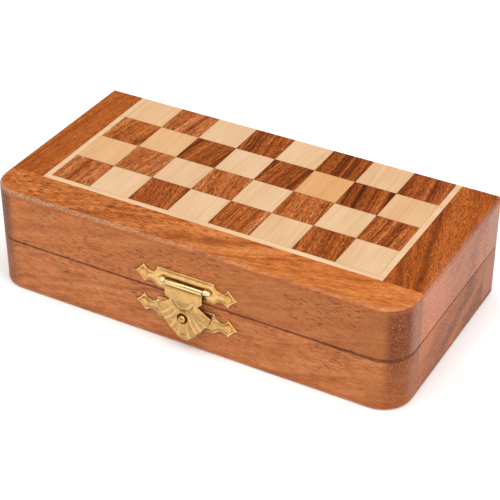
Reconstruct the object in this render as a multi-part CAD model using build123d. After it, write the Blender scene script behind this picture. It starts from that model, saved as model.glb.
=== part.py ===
from build123d import *
from math import cos, radians, sin
import os

# Folding chess box, closed. Millimetres. The origin is the centre of the box's underside, +X runs
# along the length to the right, +Y to the hinges at the back, and +Z up. The front, with its clasp,
# faces -Y. The box is two equal trays. A tray is described from its board face inwards: h = 0 is the
# board face, which is the underside of the base and the top of the lid, and h = half_height the rim.

# Board pattern
length = 178.0
columns = 8
rows = 4
stringing_width = 2.4
border_left = 15.2
border_right = 16.0
border_front = 15.9
hinge_edge_trim = 0.3  # taken off the last row, so that the two halves meet in one board

# Trays
half_height = 22.55
parting_gap = 0.2
back_rail_thickness = 11.0
corner_radius = 12.0
board_edge_radius = 1.3
rim_edge_radius = 0.3

# Layers under the board face
square_thickness = 2.4
steel_thickness = 0.5
panel_thickness = 2.4
panel_tongue = 4.0
panel_end_clearance = 0.2
steel_margin = 1.5  # wood left behind the steel sheet at the back face

# Lining and insert
lining_thickness = 0.6
insert_drop = 3.0  # from the rim down to the top of the insert
rim_strip_thickness = 2.5
divider_thickness = 2.5
lining_clearance = 0.3
slot_columns = 8

# Butt hinges
hinge_inset = 39.0  # from the box's end to the middle of the hinge
hinge_length = 20.0
hinge_leaf_width = 9.0
hinge_leaf_thickness = 0.8
hinge_setback = 0.15  # from the back face out to the hinge axis
knuckle_radius = 1.8
knuckle_count = 5
knuckle_end_gap = 0.1
knuckle_side_gap = 0.15
knuckle_notch_gap = 0.3
hinge_pin_radius = 0.8
pin_clearance = 0.05
mortise_clearance = 0.1

# Hinge screws
screw_spacing = 12.0
screw_head_radius = 1.7
screw_shank_radius = 0.9
screw_length = 7.0
screw_slot_width = 0.4
screw_slot_depth = 0.35
screw_clearance = 0.05
pilot_end_clearance = 0.5

# Clasp plates
clasp_x = 0.8  # to the right of the middle
hasp_plate_rise = 6.0  # plate's middle above the parting
catch_plate_drop = 7.5  # plate's middle below the parting
plate_half_length = 22.4
plate_half_height = 4.5
plate_body_half_length = 12.3
plate_thickness = 0.6
fleur_offset = 18.1
fleur_half_height = 4.3
fleur_hollow = 0.35  # how far a fleur's edges bend in
plate_neck_offset = 14.9
neck_above = 1.5  # edge of the neck above the plate's middle
neck_below = 2.7
nail_spacing = 36.4
nail_head_radius = 1.5
nail_head_height = 0.7
nail_shank_radius = 0.6
nail_length = 8.0
nail_clearance = 0.05

# Hasp pivot
hasp_pin_radius = 0.65
hasp_pin_half_length = 10.2
barrel_radius = 1.3
barrel_half_length = 8.0
barrel_seat_gap = 0.05  # between the barrel and the wood behind it
pin_cover_half_length = 10.9
hasp_slot_end_gap = 0.25
hasp_slot_side_gap = 0.4

# Hasp leaf, a neck that widens to a ribbed shell. Offsets are along X from its centre line and
# drops are down from the pivot.
leaf_thickness = 0.6
neck_half_width = 8.0
neck_drop = 5.3
waist_half_width = 6.0
waist_drop = 6.9
shoulder_half_width = 10.9
shoulder_drop = 10.2
fan_centre_drop = 6.5
tip_lobe_radius = 17.6
lobe_bulge = 0.35
lobe_cusps = [(9.0, 16.2), (25.0, 13.9), (41.0, 12.7), (56.0, 12.3), (70.0, 12.2)]  # degrees, mm
dome_centre_drop = 14.5
dome_rim_radius = 9.5
dome_height = 1.15
stud_hole_radius = 2.3

# Stud on the catch plate
stud_ball_radius = 1.6
stud_neck_radius = 1.0
stud_collar_radius = 1.7
stud_collar_height = 0.5
stud_reach = 5.0  # from the wood out to the front of the ball
stud_root = 6.0  # shank in the wood

# Worked out from the above
square = (length - border_left - border_right - 2 * stringing_width) / columns
depth = border_front + stringing_width + rows * square - hinge_edge_trim
parting = half_height + parting_gap / 2
box_height = 2 * half_height + parting_gap
left = -length / 2
right = length / 2
front = -depth / 2
back = depth / 2
field_left = left + border_left
field_right = right - border_right
field_front = front + border_front
cavity_back = back - back_rail_thickness
steel_top = square_thickness + steel_thickness
panel_top = steel_top + panel_thickness
floor_top = panel_top + lining_thickness
insert_layer = (floor_top, half_height - insert_drop)
insert_left = field_left + lining_clearance
insert_right = field_right - lining_clearance
insert_front = field_front + lining_clearance
insert_back = cavity_back - lining_clearance
slots_left = insert_left + rim_strip_thickness
slots_right = insert_right - rim_strip_thickness
slots_front = insert_front + rim_strip_thickness
slots_back = insert_back - rim_strip_thickness
slot_width = (slots_right - slots_left - (slot_columns - 1) * divider_thickness) / slot_columns
slot_middle = (slots_front + slots_back) / 2
slot_rows = [
    (slots_front, slot_middle - divider_thickness / 2),
    (slot_middle + divider_thickness / 2, slots_back),
]
axis_y = back + hinge_setback
hasp_z = parting + hasp_plate_rise
catch_z = parting - catch_plate_drop
leaf_pivot_reach = barrel_radius + barrel_seat_gap  # from the wood out to the pivot
leaf_back = leaf_pivot_reach + barrel_radius - leaf_thickness
hole_drop = hasp_z - catch_z
tiny = 0.01
overcut = 1.0  # how far a cut runs on past the face it opens


def block(x, y, z):
    """A box from its three (low, high) pairs."""
    size = [high - low for low, high in (x, y, z)]
    middle = [(low + high) / 2 for low, high in (x, y, z)]
    return Pos(*middle) * Box(*size)


def rod_x(radius, x, y, z):
    """A round bar along X, from one x to the other."""
    return Pos((x[0] + x[1]) / 2, y, z) * Rot(0, 90, 0) * Cylinder(radius, x[1] - x[0])


def in_half(shape, half):
    """Puts a shape drawn for the base in its place: the lid is the base turned over."""
    if half == "lid":
        return mirror(shape, about=Plane.XY.offset(parting))
    return shape


# ---- Wooden tray -------------------------------------------------------------------------------

def tray_envelope():
    """The outside of one tray, with its rounded front corners and eased edges."""
    outline = Rectangle(length, depth)
    outline = fillet(outline.vertices().group_by(Axis.Y)[0], corner_radius)
    solid = extrude(outline, half_height)

    def outer_edges(level):
        ring = solid.edges().filter_by_position(Axis.Z, level - tiny, level + tiny)
        return [edge for edge in ring if edge.center().Y < back - tiny]

    solid = fillet(outer_edges(0), board_edge_radius)
    return fillet(outer_edges(half_height), rim_edge_radius)


def panel_space(end_clearance):
    """The core panel, which reaches into a groove in every rail."""
    reach = panel_tongue - end_clearance
    return block(
        (field_left - reach, field_right + reach),
        (field_front - reach, cavity_back + reach),
        (steel_top, panel_top),
    )


def steel_sheet():
    return block(
        (field_left, field_right),
        (field_front, back - steel_margin),
        (square_thickness, steel_top),
    )


def hinge_centres():
    offset = length / 2 - hinge_inset
    return [-offset, offset]


def hinge_recess(centre):
    """What a hinge takes out of a back rail: the leaf's mortise and the knuckles' notch."""
    half = hinge_length / 2
    mortise = block(
        (centre - half - mortise_clearance, centre + half + mortise_clearance),
        (axis_y - hinge_leaf_width - mortise_clearance, back + overcut),
        (half_height - hinge_leaf_thickness, half_height + overcut),
    )
    notch = rod_x(
        knuckle_radius + knuckle_notch_gap,
        (centre - half - knuckle_notch_gap, centre + half + knuckle_notch_gap),
        axis_y,
        parting,
    )
    return mortise + notch


def screw_places():
    """x and y of every hinge screw."""
    y = axis_y - (hinge_leaf_width + knuckle_radius) / 2
    return [(centre + side * screw_spacing / 2, y) for centre in hinge_centres() for side in (-1, 1)]


def pilot_hole(x, y):
    top = half_height
    bottom = top - screw_length - pilot_end_clearance
    return Pos(x, y, (top + bottom) / 2) * Cylinder(screw_shank_radius + screw_clearance, top - bottom)


def front_rail(envelope):
    rail = envelope & block((left, right), (front, field_front), (0, half_height))
    return rail - panel_space(0)


def side_rail(envelope, x):
    """A left or right rail. Its top layer runs on over the back rail to the hinge edge."""
    rail = envelope & block(x, (field_front, back), (0, half_height))
    rail -= block((left, right), (cavity_back, back), (steel_top, half_height))
    return rail - panel_space(0)


def back_rail(envelope):
    rail = envelope & block((left, right), (cavity_back, back), (square_thickness, half_height))
    rail -= block((left, field_left), (cavity_back, back), (0, steel_top))
    rail -= block((field_right, right), (cavity_back, back), (0, steel_top))
    rail = rail - steel_sheet() - panel_space(0)
    for centre in hinge_centres():
        rail -= hinge_recess(centre)
    for x, y in screw_places():
        rail -= pilot_hole(x, y)
    return rail


# ---- Board face --------------------------------------------------------------------------------

def squares(parity):
    """The squares whose column and row add up to this parity. Row 0 is the front one."""
    solids = []
    for column in range(columns):
        for row in range(rows):
            if (column + row) % 2 != parity:
                continue
            x = field_left + stringing_width + column * square
            y = field_front + stringing_width + row * square
            solids.append(block((x, x + square), (y, min(y + square, back)), (0, square_thickness)))
    return solids


def stringing():
    """Pale strips around three sides of the squares, the front one running the full width."""
    inner_front = field_front + stringing_width
    layer = (0, square_thickness)
    return [
        block((field_left, field_right), (field_front, inner_front), layer),
        block((field_left, field_left + stringing_width), (inner_front, back), layer),
        block((field_right - stringing_width, field_right), (inner_front, back), layer),
    ]


# ---- Lining and insert -------------------------------------------------------------------------

def floor_lining():
    return block((insert_left, insert_right), (insert_front, insert_back), (panel_top, floor_top))


def insert_rim():
    """Four strips around the walls of the tray."""
    return [
        block((insert_left, insert_right), (insert_front, slots_front), insert_layer),
        block((insert_left, insert_right), (slots_back, insert_back), insert_layer),
        block((insert_left, slots_left), (slots_front, slots_back), insert_layer),
        block((slots_right, insert_right), (slots_front, slots_back), insert_layer),
    ]


def long_divider():
    return block((slots_left, slots_right), (slot_rows[0][1], slot_rows[1][0]), insert_layer)


def cross_dividers():
    """The short strips between the slots of each row."""
    solids = []
    for y in slot_rows:
        for number in range(1, slot_columns):
            x = slots_left + number * (slot_width + divider_thickness) - divider_thickness
            solids.append(block((x, x + divider_thickness), y, insert_layer))
    return solids


# ---- Butt hinges -------------------------------------------------------------------------------

def knuckle_span(centre, number):
    pitch = hinge_length / knuckle_count
    start = centre - hinge_length / 2 + number * pitch
    low = start + (knuckle_end_gap / 2 if number > 0 else 0)
    high = start + pitch - (knuckle_end_gap / 2 if number < knuckle_count - 1 else 0)
    return low, high


def hinge_leaf(centre, half):
    """One leaf with its knuckles, drawn for the base. The base has the outer knuckles."""
    own = 0 if half == "base" else 1
    half_length = hinge_length / 2
    leaf = block(
        (centre - half_length, centre + half_length),
        (axis_y - hinge_leaf_width, axis_y),
        (half_height - hinge_leaf_thickness, half_height),
    )
    for number in range(knuckle_count):
        low, high = knuckle_span(centre, number)
        if number % 2 != own:
            room = (low - knuckle_end_gap, high + knuckle_end_gap)
            leaf -= rod_x(knuckle_radius + knuckle_side_gap, room, axis_y, parting)
    for number in range(own, knuckle_count, 2):
        leaf += rod_x(knuckle_radius, knuckle_span(centre, number), axis_y, parting)
    bore = (centre - half_length - overcut, centre + half_length + overcut)
    leaf -= rod_x(hinge_pin_radius + pin_clearance, bore, axis_y, parting)
    for x, y in screw_places():
        if abs(x - centre) < half_length:
            leaf -= screw_body(x, y, screw_clearance)
    return leaf


def hinge_pin(centre):
    span = (centre - hinge_length / 2, centre + hinge_length / 2)
    return rod_x(hinge_pin_radius, span, axis_y, parting)


def screw_body(x, y, clearance=0.0):
    """A countersunk head flush with the hinge leaf, and its shank."""
    head_height = screw_head_radius - screw_shank_radius
    head = Cone(screw_shank_radius + clearance, screw_head_radius + clearance, head_height)
    shank_length = screw_length - head_height + tiny
    shank = Cylinder(screw_shank_radius + clearance, shank_length)
    head = Pos(x, y, half_height - head_height / 2) * head
    return head + Pos(x, y, half_height - head_height + tiny - shank_length / 2) * shank


def hinge_screws():
    """Screws with a straight slot in the head."""
    solids = []
    for x, y in screw_places():
        slot = block(
            (x - screw_head_radius - overcut, x + screw_head_radius + overcut),
            (y - screw_slot_width / 2, y + screw_slot_width / 2),
            (half_height - screw_slot_depth, half_height + overcut),
        )
        solids.append(screw_body(x, y) - slot)
    return solids


# ---- Clasp -------------------------------------------------------------------------------------
# A clasp piece is drawn in its plate's own plane: x to the right, y up, z out from the wood.

def on_front(shape, height):
    plane = Plane(origin=(clasp_x, front, height), x_dir=(1, 0, 0), z_dir=(0, -1, 0))
    return plane.location * shape


def plate_outline():
    """A body between two necks that end in pointed fleurs, the same on both plates."""
    edges = []
    for sign, neck in ((1, neck_above), (-1, neck_below)):
        corner = (plate_body_half_length, sign * plate_half_height)
        point = (fleur_offset, sign * fleur_half_height)
        bend_x = (fleur_offset + plate_half_length) / 2 - fleur_hollow
        bend_y = sign * (fleur_half_height / 2 - fleur_hollow)
        edges += [
            Line((0, corner[1]), corner),
            ThreePointArc(corner, (plate_neck_offset, sign * neck), point),
            ThreePointArc(point, (bend_x, bend_y), (plate_half_length, 0)),
        ]
    return make_face(edges + [mirror(edge, about=Plane.YZ) for edge in edges])


def nail_places():
    return [-nail_spacing / 2, nail_spacing / 2]


def drill(shape, places, radius):
    for x in places:
        shape -= Pos(x, 0, 0) * Cylinder(radius, 4 * plate_thickness)
    return shape


def pivot_bar(radius, half_length):
    """A bar along the hasp's pivot, about its middle."""
    return rod_x(radius, (-half_length, half_length), 0, leaf_pivot_reach)


def hasp_plate():
    """Plate with two raised covers over the pin's ends and a slot between them for the leaf."""
    plate = extrude(plate_outline(), plate_thickness)
    plate += pivot_bar(barrel_radius, pin_cover_half_length)
    slot_half_length = barrel_half_length + hasp_slot_end_gap
    slot_half_height = barrel_radius + hasp_slot_side_gap
    plate -= block(
        (-slot_half_length, slot_half_length),
        (-slot_half_height, slot_half_height),
        (-overcut, 2 * leaf_pivot_reach + overcut),
    )
    plate -= pivot_bar(hasp_pin_radius + pin_clearance, hasp_pin_half_length + pin_clearance)
    return drill(plate, nail_places(), nail_shank_radius + nail_clearance)


def polar(angle, radius):
    """A point of the shell's rim, by its angle from straight down about the fan's centre."""
    return radius * sin(radians(angle)), -fan_centre_drop - radius * cos(radians(angle))


def leaf_outline():
    """Neck, waist and shell. The shell's rim is a row of lobes, one to each rib."""
    points = [(0, 0), (neck_half_width, 0), (neck_half_width, -neck_drop)]
    points += [(waist_half_width, -waist_drop), (shoulder_half_width, -shoulder_drop)]
    cusps = [polar(angle, radius) for angle, radius in reversed(lobe_cusps)]
    half = [Line(a, b) for a, b in zip(points, points[1:] + cusps[:1])]
    for (angle_a, radius_a), (angle_b, radius_b) in zip(lobe_cusps, lobe_cusps[1:]):
        bulge = polar((angle_a + angle_b) / 2, (radius_a + radius_b) / 2 + lobe_bulge)
        half.append(ThreePointArc(polar(angle_a, radius_a), bulge, polar(angle_b, radius_b)))
    other = [mirror(edge, about=Plane.YZ) for edge in half]
    first_angle, first_radius = lobe_cusps[0]
    tip = ThreePointArc(
        polar(-first_angle, first_radius), polar(0, tip_lobe_radius), polar(first_angle, first_radius)
    )
    return make_face(half + other + [tip])


def hasp_leaf():
    """A thin leaf rolled round the pin, domed over the stud."""
    ball_radius = (dome_rim_radius**2 + dome_height**2) / (2 * dome_height)
    ball_centre = Pos(0, -dome_centre_drop, leaf_back + dome_height - ball_radius)
    room = 4 * ball_radius
    ahead = block((-room, room), (-room, room), (leaf_back, room))
    sheet = block((-room, room), (-room, room), (leaf_back, leaf_back + leaf_thickness))
    sheet += ball_centre * Sphere(ball_radius + leaf_thickness) & ahead
    sheet -= ball_centre * Sphere(ball_radius)
    leaf = sheet & extrude(leaf_outline(), leaf_back + dome_height + 2 * leaf_thickness)
    leaf += pivot_bar(barrel_radius, barrel_half_length)
    leaf -= pivot_bar(hasp_pin_radius + pin_clearance, barrel_half_length + overcut)
    return leaf - Pos(0, -hole_drop, leaf_back) * Cylinder(stud_hole_radius, 8 * leaf_thickness)


def catch_plate():
    plate = extrude(plate_outline(), plate_thickness)
    plate = drill(plate, nail_places(), nail_shank_radius + nail_clearance)
    return drill(plate, [0], stud_neck_radius + nail_clearance)


def catch_stud():
    """A ball on a neck, with a collar on the plate and a root in the wood."""
    ball = Pos(0, 0, stud_reach - stud_ball_radius) * Sphere(stud_ball_radius)
    shank_length = stud_root + stud_reach - stud_ball_radius
    shank = Pos(0, 0, shank_length / 2 - stud_root) * Cylinder(stud_neck_radius, shank_length)
    collar = Pos(0, 0, plate_thickness + stud_collar_height / 2)
    return ball + shank + collar * Cylinder(stud_collar_radius, stud_collar_height)


def nail(x):
    """A pin with a low domed head."""
    dome_radius = (nail_head_radius**2 + nail_head_height**2) / (2 * nail_head_height)
    head = Pos(x, 0, plate_thickness + nail_head_height - dome_radius) * Sphere(dome_radius)
    head &= Pos(x, 0, plate_thickness + nail_head_height) * Box(
        3 * nail_head_radius, 3 * nail_head_radius, 2 * nail_head_height
    )
    shank_top = plate_thickness + tiny
    shank = Pos(x, 0, shank_top - nail_length / 2) * Cylinder(nail_shank_radius, nail_length)
    return head + shank


def front_holes(height, places, radius, reach):
    """Drillings in a front rail for what is fixed to it."""
    bars = [Pos(x, 0, -reach / 2) * Cylinder(radius, reach) for x in places]
    return [on_front(bar, height) for bar in bars]


# ---- Assembly ----------------------------------------------------------------------------------

def tray_nodes(half):
    """All the pieces of one tray but its brass, in place."""
    envelope = tray_envelope()
    dark = 0 if half == "lid" else 1
    drawn = {
        "front_rail": [front_rail(envelope)],
        "left_rail": [side_rail(envelope, (left, field_left))],
        "right_rail": [side_rail(envelope, (field_right, right))],
        "back_rail": [back_rail(envelope)],
        "core_panel": [panel_space(panel_end_clearance)],
        "steel_sheet": [steel_sheet()],
        "dark_squares": squares(dark),
        "light_squares": squares(1 - dark),
        "stringing": stringing(),
        "floor_lining": [floor_lining()],
        "insert_rim": insert_rim(),
        "long_divider": [long_divider()],
        "cross_dividers": cross_dividers(),
        "hinge_screws": hinge_screws(),
    }
    return {f"{half}_{name}": [in_half(s, half) for s in solids] for name, solids in drawn.items()}


def drilled(rails, holes):
    for hole in holes:
        rails = [rail - hole for rail in rails]
    return rails


nodes = {**tray_nodes("base"), **tray_nodes("lid")}

nail_hole_radius = nail_shank_radius + nail_clearance
stud_hole_in_wood = stud_neck_radius + nail_clearance
nail_holes = {
    "lid": front_holes(hasp_z, nail_places(), nail_hole_radius, nail_length),
    "base": front_holes(catch_z, nail_places(), nail_hole_radius, nail_length),
}
nail_holes["base"] += front_holes(catch_z, [0], stud_hole_in_wood, stud_root + pilot_end_clearance)
for half in ("base", "lid"):
    nodes[f"{half}_front_rail"] = drilled(nodes[f"{half}_front_rail"], nail_holes[half])

for side, centre in zip(("left", "right"), hinge_centres()):
    nodes[f"{side}_hinge_base_leaf"] = [hinge_leaf(centre, "base")]
    nodes[f"{side}_hinge_lid_leaf"] = [in_half(hinge_leaf(centre, "lid"), "lid")]
    nodes[f"{side}_hinge_pin"] = [hinge_pin(centre)]

nodes["hasp_plate"] = [on_front(hasp_plate(), hasp_z)]
nodes["hasp_pin"] = [on_front(pivot_bar(hasp_pin_radius, hasp_pin_half_length), hasp_z)]
nodes["hasp_leaf"] = [on_front(hasp_leaf(), hasp_z)]
nodes["hasp_nails"] = [on_front(nail(x), hasp_z) for x in nail_places()]
nodes["catch_plate"] = [on_front(catch_plate(), catch_z)]
nodes["catch_stud"] = [on_front(catch_stud(), catch_z)]
nodes["catch_nails"] = [on_front(nail(x), catch_z) for x in nail_places()]

os.makedirs("parts", exist_ok=True)
for name, shapes in nodes.items():
    solids = [solid for shape in shapes for solid in shape.solids()]
    export_step(Compound(solids) if len(solids) > 1 else solids[0], f"parts/{name}.step")
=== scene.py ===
from dataclasses import dataclass
from functools import partial, reduce
from math import cos, pi, radians, sin, sqrt

import bmesh
import bpy
import numpy as np
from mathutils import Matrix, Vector
from mathutils.geometry import delaunay_2d_cdt


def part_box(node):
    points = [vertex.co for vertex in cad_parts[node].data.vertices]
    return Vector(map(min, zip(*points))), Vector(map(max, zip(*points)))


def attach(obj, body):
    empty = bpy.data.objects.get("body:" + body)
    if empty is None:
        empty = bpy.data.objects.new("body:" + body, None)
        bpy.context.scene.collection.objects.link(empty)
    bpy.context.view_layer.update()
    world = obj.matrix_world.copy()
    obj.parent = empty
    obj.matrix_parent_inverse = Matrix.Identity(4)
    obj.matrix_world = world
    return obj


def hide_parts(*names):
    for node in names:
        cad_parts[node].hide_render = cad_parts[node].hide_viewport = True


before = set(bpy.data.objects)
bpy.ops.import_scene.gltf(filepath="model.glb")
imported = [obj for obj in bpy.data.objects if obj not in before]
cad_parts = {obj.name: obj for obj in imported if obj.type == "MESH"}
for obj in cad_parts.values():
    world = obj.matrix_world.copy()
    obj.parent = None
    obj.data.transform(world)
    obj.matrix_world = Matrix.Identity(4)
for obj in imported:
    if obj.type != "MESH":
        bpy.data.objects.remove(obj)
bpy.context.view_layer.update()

MM = 0.001

# The board pattern, in millimetres, as in the construction.
SQUARE = 17.75
STRINGING = 2.4
board_low, board_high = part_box("lid_stringing")
FIELD_LEFT = board_low.x / MM
FIELD_FRONT = board_low.y / MM
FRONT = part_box("lid_front_rail")[0].y / MM
LID_TOP = board_high.z / MM
PARTING = LID_TOP / 2


# ---- Shader helper ----

class Shader:
    """A material's node tree, built by small calls that return output sockets."""

    def __init__(self, name):
        self.material = bpy.data.materials.new(name)
        self.material.use_nodes = True
        tree = self.material.node_tree
        self.nodes, self.links = tree.nodes, tree.links
        self.nodes.clear()

    def put(self, socket, value):
        if isinstance(value, bpy.types.NodeSocket):
            self.links.new(value, socket)
        elif value is not None:
            socket.default_value = value

    def add(self, kind, inputs=(), **settings):
        node = self.nodes.new(kind)
        for key, value in settings.items():
            setattr(node, key, value)
        for key, value in dict(inputs).items():
            self.put(node.inputs[key], value)
        return node

    def math(self, operation, a, b=None, c=None):
        return self.add("ShaderNodeMath", {0: a, 1: b, 2: c}, operation=operation).outputs[0]

    def times(self, *factors):
        return reduce(partial(self.math, "MULTIPLY"), factors)

    def plus(self, *terms):
        return reduce(partial(self.math, "ADD"), terms)

    def vector(self, operation, a, b):
        node = self.add("ShaderNodeVectorMath", {0: a, 1: b}, operation=operation)
        return node.outputs["Value" if operation == "DOT_PRODUCT" else "Vector"]

    def split(self, vector):
        return self.add("ShaderNodeSeparateXYZ", {0: vector}).outputs

    def spread(self, value, low, high, to_low=0.0, to_high=1.0, smooth=True):
        """Maps low..high to to_low..to_high and holds it there beyond."""
        node = self.add(
            "ShaderNodeMapRange",
            {0: value, 1: low, 2: high, 3: to_low, 4: to_high},
            interpolation_type="SMOOTHSTEP" if smooth else "LINEAR",
        )
        return node.outputs[0]

    def noise(self, vector, scale, detail=2.0, roughness=0.5):
        inputs = {"Vector": vector, "Scale": scale, "Detail": detail, "Roughness": roughness}
        return self.add("ShaderNodeTexNoise", inputs, noise_dimensions="3D").outputs[0]

    def line_noise(self, value, scale, detail, roughness):
        inputs = {"W": value, "Scale": scale, "Detail": detail, "Roughness": roughness}
        return self.add("ShaderNodeTexNoise", inputs, noise_dimensions="1D").outputs[0]

    def random(self, vector):
        node = self.add("ShaderNodeTexWhiteNoise", {"Vector": vector}, noise_dimensions="3D")
        return node.outputs["Color"]

    def mix(self, factor, a, b, blend="MIX"):
        settings = {"data_type": "RGBA", "blend_type": blend, "clamp_factor": True}
        return self.add("ShaderNodeMix", {0: factor, 6: a, 7: b}, **settings).outputs[2]

    def scale(self, vector, factor):
        node = self.add("ShaderNodeVectorMath", {0: vector, 3: factor}, operation="SCALE")
        return node.outputs["Vector"]

    def coordinates(self, kind="Object"):
        return self.add("ShaderNodeTexCoord").outputs[kind]

    def here(self):
        """The shaded point's place in millimetres."""
        return self.scale(self.coordinates(), 1 / MM)

    def ramp(self, value, stops):
        node = self.add("ShaderNodeValToRGB", {0: value})
        elements = node.color_ramp.elements
        while len(elements) < len(stops):
            elements.new(1.0)
        for element, (place, colour) in zip(elements, stops):
            element.position = place
            element.color = colour
        return node.outputs[0]

    def bump(self, height, strength, distance):
        inputs = {"Strength": strength, "Distance": distance, "Height": height}
        return self.add("ShaderNodeBump", inputs).outputs[0]

    def finish(self, **sockets):
        bsdf = self.add("ShaderNodeBsdfPrincipled")
        for key, value in sockets.items():
            self.put(bsdf.inputs[key.replace("_", " ")], value)
        output = self.add("ShaderNodeOutputMaterial")
        self.links.new(bsdf.outputs[0], output.inputs[0])
        return self.material


def rgb(red, green, blue):
    """A colour given as it looks on a screen, from 0 to 255."""
    def linear(value):
        value /= 255
        return value / 12.92 if value <= 0.04045 else ((value + 0.055) / 1.055) ** 2.4
    return linear(red), linear(green), linear(blue), 1.0


def grey(value):
    return value, value, value, 1.0


WHITE = grey(1.0)


# ---- Wood ----

WALL_PORE = 0.3  # how strongly the pores show on the walls


@dataclass
class Timber:
    """A rosewood. Angles are in degrees from +X in plan, and lengths in millimetres.

    The walls are a rail's upright faces, whose tint is painted light and sheen that sets them apart
    from the board faces."""

    angle: float  # of the grain
    tones: tuple  # deep, dark, middle and light
    seed: int
    ring_normal: tuple = (0.0, 1.0, 0.3)
    sway: float = 16.0  # how far the growth rings wander
    pitch: float = 7.0  # how far apart they are
    figure: float = 1.2  # how strongly the rings, the streaks and the mottle show
    streak: float = 0.7
    mottle: float = 0.5
    straight: float = 1.0  # how long the streaks run
    fine: float = 1.2  # how many there are to the millimetre
    detail: float = 3.0  # how much the rings break up
    share: float = 0.5  # how many pores there are
    pore: float = 0.7  # how strongly all of them, the long and the short show
    large: float = 1.0
    dots: float = 0.0
    clear_end: float = 1.0  # how strongly at the right end, against the left
    gloss: float = 0.25
    wall: tuple = (1.0, 1.0, 1.0)  # painted tints of light and sheen on the lid's and the base's walls
    base_wall: tuple = (1.0, 1.0, 1.0)
    wall_end: float = 1.0  # the lid's tint at the right end, against the left
    back_end: tuple = (1.0, 1.0, 1.0)  # what the walls' tint is multiplied by towards the back
    wall_figure: float = 0.5  # how much of the figure the lid's and the base's walls keep
    base_figure: float = 0.5
    wall_angle: float = 0.0  # of the dashes on the walls
    dash: float = 0.8
    painted_wall_sheen: float = 0.0  # a painted pale sheen over the walls
    end_from: float = 0.26  # how squarely cut the grain is where it begins to darken
    painted_end_sheen: float = 0.0  # a painted pale sheen on end grain
    seam_wide: float = 0.44  # how far the parting line's painted shade reaches at the right end


def grain_place(s, angle, seed, source=None):
    """Coordinates in millimetres, turned so that the first value runs along the grain.

    The angle is in degrees from +X in plan."""
    if source is None:
        source = s.coordinates()
    inputs = {
        "Vector": source,
        "Location": (seed * 71.3, seed * 37.7, seed * 23.1),
        "Rotation": (0.0, 0.0, radians(-angle)),
        "Scale": (1 / MM, 1 / MM, 1 / MM),
    }
    return s.add("ShaderNodeMapping", inputs, vector_type="POINT").outputs[0]


def end_grain(s, angle):
    """How squarely the surface cuts across the grain, from 0 to 1."""
    grain = (cos(radians(angle)), sin(radians(angle)), 0.0)
    return s.math("ABSOLUTE", s.vector("DOT_PRODUCT", s.coordinates("Normal"), grain))


def stretched(s, place, along, across, detail=2.0, roughness=0.5):
    """Noise drawn out along the grain; the two values are its frequencies per millimetre."""
    drawn = s.vector("MULTIPLY", place, (along, across, across))
    return s.noise(drawn, 1.0, detail, roughness)


def centred(s, value, amount):
    """Turns noise about 0.5 into a swing about zero."""
    return s.times(s.math("SUBTRACT", value, 0.5), amount)


def rosewood_flow(s, place, wood):
    """How light the wood is, from its growth rings, fine streaks and mottle, about 0.5."""
    drift = centred(s, stretched(s, place, 0.016, 0.045), wood.sway)
    ring = s.plus(s.vector("DOT_PRODUCT", place, wood.ring_normal), drift)
    bands = centred(s, s.line_noise(ring, 1 / wood.pitch, wood.detail, 0.65), wood.figure)
    streaks = stretched(s, place, 0.05 / wood.straight, wood.fine, 3.0, 0.6)
    cloud = centred(s, stretched(s, place, 0.10, 0.24), wood.mottle)
    return s.plus(bands, centred(s, streaks, wood.streak), cloud, 0.5)


def pores(s, place, share, large, dots):
    """Short dark vessels along the grain: 1 inside one."""
    coarse = stretched(s, place, 0.30, 2.5, 1.5, 0.5)
    coarse = s.spread(coarse, 0.66 - 0.14 * share, 0.71 - 0.14 * share)
    fine = stretched(s, place, 0.60, 4.4, 1.0, 0.4)
    fine = s.spread(fine, 0.60 - 0.10 * share, 0.68 - 0.10 * share)
    holes = s.math("MAXIMUM", s.times(coarse, large), s.times(fine, 0.6))
    if dots:
        short = stretched(s, place, 0.70, 3.2, 1.0, 0.4)
        short = s.spread(short, 0.64 - 0.1 * share, 0.70 - 0.1 * share)
        holes = s.math("MAXIMUM", holes, s.times(short, dots))
    return holes


def facing_up(s):
    """How squarely a surface faces up or down: 1 on the board faces, 0 on upright ones."""
    return s.math("ABSOLUTE", s.split(s.coordinates("Normal"))["Z"])


def from_board(s):
    """How far below its board face a point is, in millimetres, and its place."""
    place = s.split(s.here())
    from_parting = s.math("ABSOLUTE", s.math("SUBTRACT", place["Z"], PARTING))
    return s.math("SUBTRACT", LID_TOP - PARTING, from_parting), place


def painted_wall_light(s, wood, spot, in_lid):
    """The walls' painted tint of light and sheen, which falls off towards the right end and the
    back.
    """
    to_right = s.spread(spot["X"], -80.0, 80.0, 1.0, wood.wall_end, smooth=False)
    tint = s.mix(in_lid, wood.base_wall + (1.0,), s.scale(wood.wall, to_right))
    to_back = s.spread(spot["Y"], -30.0, 35.0, smooth=False)
    tint = s.vector("MULTIPLY", tint, s.mix(to_back, WHITE, wood.back_end + (1.0,)))
    return s.scale(tint, s.spread(spot["X"], 68.0, 84.0, 1.0, 0.88))


def wall_dashes(s, wood, place):
    """Dark vessels on the walls, in patches."""
    wall_place = grain_place(s, wood.wall_angle, wood.seed)
    dashes = s.spread(stretched(s, wall_place, 0.36, 3.4, 1.0, 0.4), 0.58, 0.64)
    patch = s.noise(place, 0.05)
    return s.times(dashes, s.spread(patch, 0.40, 0.62, 0.4 * wood.dash, wood.dash))


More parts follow.
